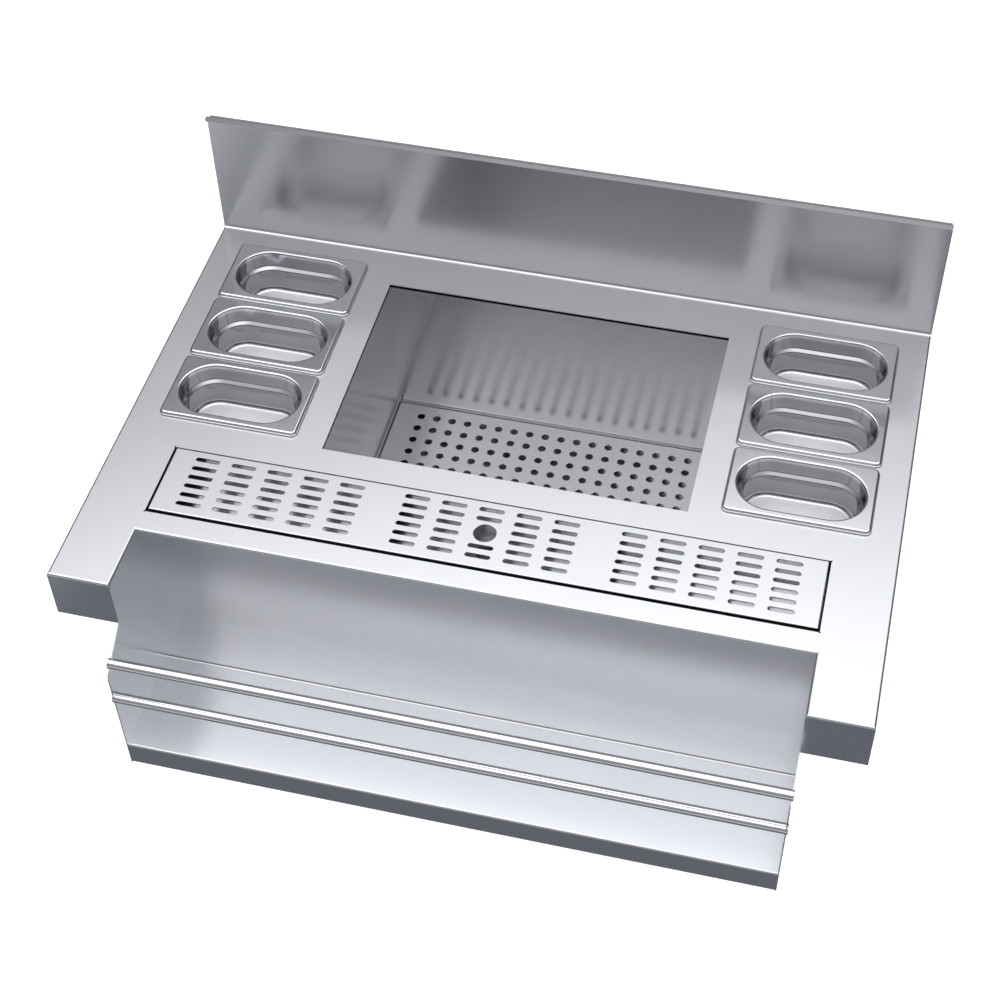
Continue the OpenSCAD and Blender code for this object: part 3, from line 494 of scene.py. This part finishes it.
def punching_tree():
    """Groups of rows and columns of one punch, less those within a distance of the middle, and one other punch
    there."""
    tree = bpy.data.node_groups.new("punched_rows", "GeometryNodeTree")
    face = tree.interface
    face.new_socket("Geometry", in_out="OUTPUT", socket_type="NodeSocketGeometry")
    face.new_socket("Sheet", in_out="INPUT", socket_type="NodeSocketGeometry")
    for name in ("Groups", "Columns", "Rows"):
        face.new_socket(name, in_out="INPUT", socket_type="NodeSocketInt").default_value = 1
    for name in ("Group Pitch", "Column Pitch", "Row Pitch", "Free Middle"):
        face.new_socket(name, in_out="INPUT", socket_type="NodeSocketFloat")
    face.new_socket("Centre", in_out="INPUT", socket_type="NodeSocketVector")
    face.new_socket("Punch", in_out="INPUT", socket_type="NodeSocketObject")
    face.new_socket("Middle Punch", in_out="INPUT", socket_type="NodeSocketObject")
    face.new_socket("Finish", in_out="INPUT", socket_type="NodeSocketMaterial")
    given = add(tree, "NodeGroupInput").outputs

    def reckon(kind, a, b):
        return add(tree, "ShaderNodeMath", {"operation": kind}, _0=a, _1=b).outputs[0]

    wide = reckon("MULTIPLY", reckon("SUBTRACT", given["Columns"], 1.0), given["Column Pitch"])
    deep = reckon("MULTIPLY", reckon("SUBTRACT", given["Rows"], 1.0), given["Row Pitch"])
    start = reckon("MULTIPLY", reckon("MULTIPLY", reckon("SUBTRACT", given["Groups"], 1.0), given["Group Pitch"]), -0.5)
    first = add(tree, "ShaderNodeCombineXYZ", X=start).outputs[0]
    stride = add(tree, "ShaderNodeCombineXYZ", X=given["Group Pitch"]).outputs[0]
    line = add(tree, "GeometryNodeMeshLine", Count=given["Groups"], Start_Location=first, Offset=stride).outputs[0]
    field = add(tree, "GeometryNodeMeshGrid", Size_X=wide, Size_Y=deep, Vertices_X=given["Columns"],
                Vertices_Y=given["Rows"]).outputs[0]
    spread = add(tree, "GeometryNodeInstanceOnPoints", Points=line, Instance=field).outputs[0]
    points = add(tree, "GeometryNodeRealizeInstances", Geometry=spread).outputs[0]
    where = add(tree, "GeometryNodeInputPosition").outputs[0]
    off = add(tree, "ShaderNodeVectorMath", {"operation": "LENGTH"}, _0=where).outputs["Value"]
    near = add(tree, "FunctionNodeCompare", {"data_type": "FLOAT", "operation": "LESS_THAN"}, _0=off,
               _1=given["Free Middle"]).outputs[0]
    kept = add(tree, "GeometryNodeDeleteGeometry", {"domain": "POINT"}, Geometry=points, Selection=near).outputs[0]
    tool = add(tree, "GeometryNodeObjectInfo", Object=given["Punch"]).outputs["Geometry"]
    rows = add(tree, "GeometryNodeInstanceOnPoints", Points=kept, Instance=tool).outputs[0]
    big = add(tree, "GeometryNodeObjectInfo", Object=given["Middle Punch"]).outputs["Geometry"]
    every = add(tree, "GeometryNodeJoinGeometry")
    tree.links.new(rows, every.inputs[0])
    tree.links.new(big, every.inputs[0])
    set_down = add(tree, "GeometryNodeTransform", Geometry=every.outputs[0], Translation=given["Centre"]).outputs[0]
    tools = add(tree, "GeometryNodeRealizeInstances", Geometry=set_down).outputs[0]
    cut = add(tree, "GeometryNodeMeshBoolean", {"operation": "DIFFERENCE", "solver": "MANIFOLD"})
    tree.links.new(given["Sheet"], cut.inputs["Mesh 1"])
    tree.links.new(tools, cut.inputs["Mesh 2"])
    real = add(tree, "GeometryNodeRealizeInstances", Geometry=cut.outputs[0]).outputs[0]
    done = add(tree, "GeometryNodeSetMaterial", Geometry=real, Material=given["Finish"]).outputs[0]
    add(tree, "NodeGroupOutput", Geometry=done)
    return tree


def punched(sheet, tree, inputs):
    """Runs the punching on a sheet and leaves it a plain mesh, flat where its faces lie along the axes."""
    sheet.data = run_tree(sheet, tree, inputs)
    soften(sheet.data)


def soften(mesh):
    """Smooth shading on folds and flares, flat on the faces that lie along an axis."""
    mesh.set_sharp_from_angle(angle=radians(CREASE))
    flat = [max(abs(c) for c in face.normal) > FACING_AN_AXIS for face in mesh.polygons]
    mesh.polygons.foreach_set("use_smooth", [not f for f in flat])
    mesh.update()


def punch_node(name, node, fold_r, corner_r, stand_out, punches, groups, group_pitch, columns, rows, pitch, first_row):
    """Makes the folded, punched plate that takes a node's place. The middle of its first row lies first_row mm in front
    of the node's back edge."""
    low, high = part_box(node)
    sheet = folded_sheet(name, node, PLATE_T, fold_r, corner_r, *stand_out, satin_sheet)
    middle = Vector(((low.x + high.x) / 2, high.y - (first_row + (rows - 1) / 2 * pitch[1]) * MM, high.z))
    punched(sheet, punched_rows, {
        "Groups": groups, "Columns": columns, "Rows": rows, "Group Pitch": group_pitch * MM,
        "Column Pitch": pitch[0] * MM, "Row Pitch": pitch[1] * MM, "Centre": middle, "Finish": satin_sheet, **punches})
    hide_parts(node)
    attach(sheet, node)


punched_rows = punching_tree()
HOLE_R, SLOT_W, SLOT_L, FINGER_R = 5.5, 6.5, 32.0, 14.0
HOLE_PITCH, SLOT_PITCH, SLOT_GROUP_PITCH = (23.2, 23.2), (47.7, 14.85), 275.5
hole_punch = punch("hole_punch", 0.0, HOLE_R, 0.2, PLATE_T)
slot_punch = punch("slot_punch", (SLOT_L - SLOT_W) / 2, SLOT_W / 2, 0.35, PLATE_T)
finger_punch = punch("finger_punch", 0.0, FINGER_R, 0.6, PLATE_T, steps=14)
punch_node("punched_false_bottom", "false_bottom", 3.2, 3.6, (1.2, 1.2, 1.2), {"Punch": hole_punch},
           1, 0.0, 18, 12, HOLE_PITCH, 22.5)
punch_node("punched_drip_grate", "drip_grate", 1.9, 2.2, (0.0, 0.0, -1.3),
           {"Punch": slot_punch, "Middle Punch": finger_punch, "Free Middle": (FINGER_R - 2) * MM},
           3, SLOT_GROUP_PITCH, 5, 6, SLOT_PITCH, 13.5)
for tool in (hole_punch, slot_punch, finger_punch):
    bpy.data.objects.remove(tool)


# Black strips of painted shadow that draw the gaps under the bin's cut edge and round the grate as black lines, where
# the front one is widest, and the bright strip that closes the gap between the perforated plate and the bin

def band(name, inner, outer, z_low, z_high, material):
    """A closed ring of rectangular section between two outlines, each (x0, x1, y0, y1, corner radius) in mm."""
    def at(shape, z):
        x0, x1, y0, y1, r = shape
        ring = outline((x1 - x0) / 2, (y1 - y0) / 2, r, z, 2)
        return [(x + (x0 + x1) / 2, y + (y0 + y1) / 2, h) for x, y, h in ring]

    made = loft(name, [at(inner, z_low), at(outer, z_low), at(outer, z_high), at(inner, z_high)], material)
    soften(made.data)
    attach(made, "station")


BIN_IN = (-237.9, 237.9, -391.9, -74.1, 0.4)
# Painted shadow: these two black strips stand in for the shade in the gaps
band("bin_edge_joint", (-236.6, 236.6, -390.6, -75.4, 0.4), BIN_IN, -5.6, -1.55, painted_shadow_black)
band("grate_edge_joint", (-418.3, 418.3, -535.0, -429.35, 0.4), (-419.9, 419.9, -539.4, -429.1, 0.4), -16.5, -0.3,
     painted_shadow_black)
band("bin_rest_strip", (-236.6, 236.6, -390.6, -75.4, 2.4), BIN_IN, -236.5, -232.4, tub_sheet)


# Studio: a soft overhead light with a wide falling edge, lower at the back than in front, a pale floor and a dark card

def sky(tree, height, stops, red, green):
    """The colour of a light that changes with elevation, as a share of TOP_LIGHT, the Background's strength."""
    ramp = add(tree, "ShaderNodeValToRGB", Fac=height)
    ramp.color_ramp.interpolation = "LINEAR"
    elements = ramp.color_ramp.elements
    while len(elements) < len(stops):
        elements.new(0.5)
    for element, (elevation, level) in zip(elements, stops):
        element.position = sin(radians(elevation))
        v = level / TOP_LIGHT
        element.color = (v * red, v * green, v, 1.0)
    return ramp.outputs["Color"]


TOP_LIGHT = 2.4  # the brightest level of the sky
# Elevation in degrees and level, from the horizon to the zenith, on the side behind the part and on the side in front
BACK_SKY = [(0, 0.08), (30, 0.08), (37, 0.16), (38.2, 0.27), (40, 0.38), (43.6, 0.31), (45, 0.28), (47, 0.54),
            (48.5, 0.94), (50, 1.4), (52, 1.85), (64, 2.15), (72, 1.9), (80, 1.4), (90, 1.3)]
FRONT_SKY = [(0, 0.3), (30, 0.33), (38, 0.38), (41, 0.43), (44, 0.5), (47.5, 0.64), (50, 0.92), (53, 1.2), (55, 1.6),
             (57, 2.15), (64, 2.4), (72, 2.0), (80, 1.4), (90, 1.25)]
world = bpy.data.worlds.new("studio")
bpy.context.scene.world = world
world.use_nodes = True
tree = world.node_tree
tree.nodes.clear()
direction = add(tree, "ShaderNodeTexCoord").outputs["Generated"]
split = add(tree, "ShaderNodeSeparateXYZ", Vector=direction).outputs
behind = add(tree, "ShaderNodeMapRange", {"interpolation_type": "SMOOTHSTEP"}, Value=split["Y"],
             From_Min=-0.35, From_Max=0.35).outputs[0]
dome = add(tree, "ShaderNodeMix", {"data_type": "RGBA"}, _0=behind, _6=sky(tree, split["Z"], FRONT_SKY, 0.985, 0.992),
           _7=sky(tree, split["Z"], BACK_SKY, 0.965, 0.975)).outputs[2]
studio = add(tree, "ShaderNodeBackground", Color=dome, Strength=TOP_LIGHT)
white = add(tree, "ShaderNodeBackground", Color=(1.0, 1.0, 1.0, 1.0), Strength=1.0)
seen = add(tree, "ShaderNodeLightPath").outputs["Is Camera Ray"]
mixed = add(tree, "ShaderNodeMixShader", _0=seen, _1=studio.outputs[0], _2=white.outputs[0])
add(tree, "ShaderNodeOutputWorld", Surface=mixed.outputs[0])


def card(name, lo, hi, z, material):
    mesh = bpy.data.meshes.new(name)
    mesh.from_pydata([(lo[0], lo[1], z), (hi[0], lo[1], z), (hi[0], hi[1], z), (lo[0], hi[1], z)], [], [(0, 1, 2, 3)])
    mesh.materials.append(material)
    made = placed(name, mesh)
    return made


FLOOR_LEVEL = -0.9
pale_floor, tree = new_material("pale_studio_floor")
path = add(tree, "ShaderNodeLightPath")
matt = add(tree, "ShaderNodeBsdfDiffuse", Color=linear("#d8d9dc"))
lift = add(tree, "ShaderNodeEmission", Color=(1.0, 1.0, 1.0, 1.0), Strength=0.75)
glow = add(tree, "ShaderNodeMixShader", _0=path.outputs["Is Camera Ray"],
           _1=add(tree, "ShaderNodeEmission", Strength=0.0).outputs[0], _2=lift.outputs[0])
both = add(tree, "ShaderNodeAddShader", _0=matt.outputs[0], _1=glow.outputs[0])
finish_material(tree, both)
card("studio_floor", (-6, -6), (6, 6), FLOOR_LEVEL, pale_floor)

# A grey card on the floor in front, seen only in reflections, gives the folded fronts their dark tone. It turns
# paler past the part's left side, where the photograph's fronts and trough do
CARD_PALE_X, CARD_DARK_X = -1.15, -0.9
dark_card, tree = new_material("dark_studio_card")
place = add(tree, "ShaderNodeTexCoord").outputs["Object"]
aside = add(tree, "ShaderNodeSeparateXYZ", Vector=place).outputs["X"]
fade = add(tree, "ShaderNodeMapRange", {"interpolation_type": "SMOOTHSTEP"}, Value=aside,
           From_Min=CARD_PALE_X, From_Max=CARD_DARK_X, To_Min=1.0, To_Max=0.0).outputs[0]
level = add(tree, "ShaderNodeMix", {"data_type": "RGBA"}, _0=fade, _6=linear("#6c6f75"),
            _7=linear("#c8cace")).outputs[2]
finish_material(tree, add(tree, "ShaderNodeEmission", Color=level, Strength=1.0))
front_card = card("dark_card_in_front", (-3, -2.1), (3, -0.75), FLOOR_LEVEL + 0.002, dark_card)
front_card.visible_camera = False
front_card.visible_diffuse = False
front_card.visible_shadow = False

# The photograph's camera: the point on the worktop that it looks at, its direction and distance from there, and its
# focal length and optical centre in pixels of the photograph
AIM = Vector((0.04621, -0.39437, 0.0))
AZIMUTH, ELEVATION, ROLL, FAR = radians(13.3780), radians(48.7960), radians(-0.3666), 2.40481
FOCAL_PX, CENTRE_PX, FRAME_PX = 1922.76, (537.38, 488.22), 1000
SENSOR_MM = 36
back = Vector((sin(AZIMUTH) * cos(ELEVATION), -cos(AZIMUTH) * cos(ELEVATION), sin(ELEVATION)))
right = Vector((cos(AZIMUTH), sin(AZIMUTH), 0))
up = back.cross(right)
right, up = cos(ROLL) * right + sin(ROLL) * up, -sin(ROLL) * right + cos(ROLL) * up
lens = bpy.data.cameras.new("photo_camera")
lens.sensor_width = SENSOR_MM
lens.lens = FOCAL_PX * SENSOR_MM / FRAME_PX
lens.shift_x = (FRAME_PX / 2 - CENTRE_PX[0]) / FRAME_PX
lens.shift_y = (CENTRE_PX[1] - FRAME_PX / 2) / FRAME_PX
lens.clip_start = 0.05
camera = placed("photo_camera", lens)
camera.matrix_world = Matrix.Translation(AIM + back * FAR) @ Matrix((right, up, back)).transposed().to_4x4()
bpy.context.scene.camera = camera
bpy.context.scene.view_settings.view_transform = "Standard"
